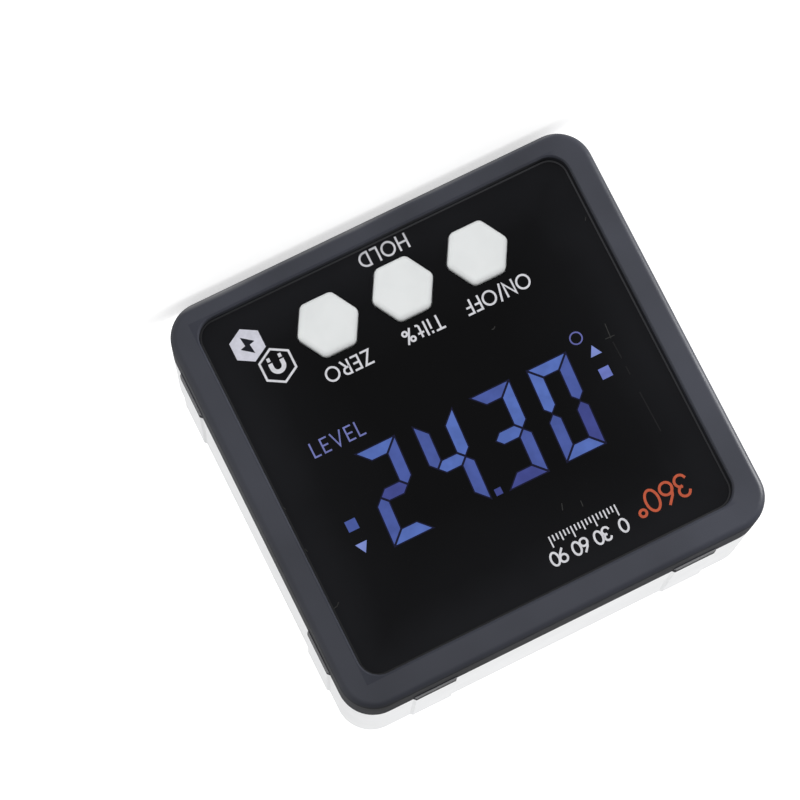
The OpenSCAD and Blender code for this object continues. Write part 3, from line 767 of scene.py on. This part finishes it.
FLOOR_R = 6.0
FLOOR_DROP = 0.02 * MM
FLOOR_GLOW = 0.62
SKY_LOW = 1.18
SKY_HIGH = 0.55
SKY_RIGHT = 0.85
EDGE_LIGHT_AT = Vector((-160, -70, 30)) * MM
EDGE_LIGHT_AIM = Vector((-27, -13, 27)) * MM
EDGE_LIGHT_SIZE = 100 * MM
EDGE_LIGHT_POWER = 0.46
TOP_LIGHT_AT = Vector((0, 0, 500)) * MM
TOP_LIGHT_AIM = Vector((0, 0, 30)) * MM
TOP_LIGHT_SIZE = 200 * MM
TOP_LIGHT_POWER = 1.05
CAMERA_AT = Vector((48.73, -430.31, 88.32)) * MM
CAMERA_AIM = Vector((5.95, -10.5, 21.82)) * MM
CAMERA_ROLL = 153.2
CAMERA_LENS = 162


def make_floor():
    bm = bmesh.new()
    bmesh.ops.create_circle(bm, cap_ends=True, segments=96, radius=FLOOR_R)
    mesh = bpy.data.meshes.new("floor")
    bm.to_mesh(mesh)
    bm.free()
    floor = bpy.data.objects.new("floor", mesh)
    floor.location.z = cad_box[0].z - FLOOR_DROP
    scene.collection.objects.link(floor)
    made, tree, shader = start("floor_paper", roughness=0.9, specular=0.1)
    tint(tree, noise(tree, 900), shader.inputs["Base Color"],
         (0.35, (0.90, 0.90, 0.90)), (0.65, (0.92, 0.92, 0.92)))
    shader.inputs["Emission Color"].default_value = (1.0, 1.0, 1.0, 1.0)
    shader.inputs["Emission Strength"].default_value = FLOOR_GLOW
    mesh.materials.append(made)


def make_light(name, at, aim, size, power):
    """Square soft light that looks from one place at another, in metres and watts."""
    data = bpy.data.lights.new(name, "AREA")
    data.shape = "SQUARE"
    data.size = size
    data.energy = power
    light = bpy.data.objects.new(name, data)
    light.visible_camera = False
    light.location = at
    light.rotation_mode = "QUATERNION"
    light.rotation_quaternion = (aim - at).to_track_quat("-Z", "Y")
    scene.collection.objects.link(light)
    return light


def light_only(light, *names):
    """Lets a light fall on those nodes and on nothing else."""
    caught = bpy.data.collections.new(light.name + "_on")
    for name in names:
        caught.objects.link(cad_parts[name])
    light.light_linking.receiver_collection = caught


def make_world():
    """Soft light from all round, weaker from above and from the right."""
    world = bpy.data.worlds.new("studio")
    world.use_nodes = True
    tree = world.node_tree
    place = tree.nodes.new("ShaderNodeTexCoord")
    split = tree.nodes.new("ShaderNodeSeparateXYZ")
    tree.links.new(place.outputs["Generated"], split.inputs["Vector"])
    height = spread(tree, split.outputs["Z"], 0.0, 0.7, SKY_LOW, SKY_HIGH)
    side = spread(tree, split.outputs["X"], -0.1, 0.7, 1.0, SKY_RIGHT)
    tree.nodes["Background"].inputs["Color"].default_value = (1.0, 1.0, 1.0, 1.0)
    tree.links.new(reckon(tree, "MULTIPLY", height, side), tree.nodes["Background"].inputs["Strength"])
    scene.world = world


def make_camera():
    data = bpy.data.cameras.new("camera")
    data.sensor_width = 36
    data.lens = CAMERA_LENS
    data.clip_start = 0.01
    data.clip_end = 50
    camera = bpy.data.objects.new("camera", data)
    camera.location = CAMERA_AT
    camera.rotation_mode = "QUATERNION"
    roll = Quaternion((0, 0, 1), math.radians(CAMERA_ROLL))
    camera.rotation_quaternion = (CAMERA_AIM - CAMERA_AT).to_track_quat("-Z", "Y") @ roll
    scene.collection.objects.link(camera)
    scene.camera = camera


make_floor()
make_world()
edge_light = make_light("edge_light", EDGE_LIGHT_AT, EDGE_LIGHT_AIM, EDGE_LIGHT_SIZE, EDGE_LIGHT_POWER)
light_only(edge_light, "front_bezel")
top_light = make_light("top_light", TOP_LIGHT_AT, TOP_LIGHT_AIM, TOP_LIGHT_SIZE, TOP_LIGHT_POWER)
light_only(top_light, "body_frame", "rear_cover")
make_camera()
scene.view_settings.view_transform = "Standard"
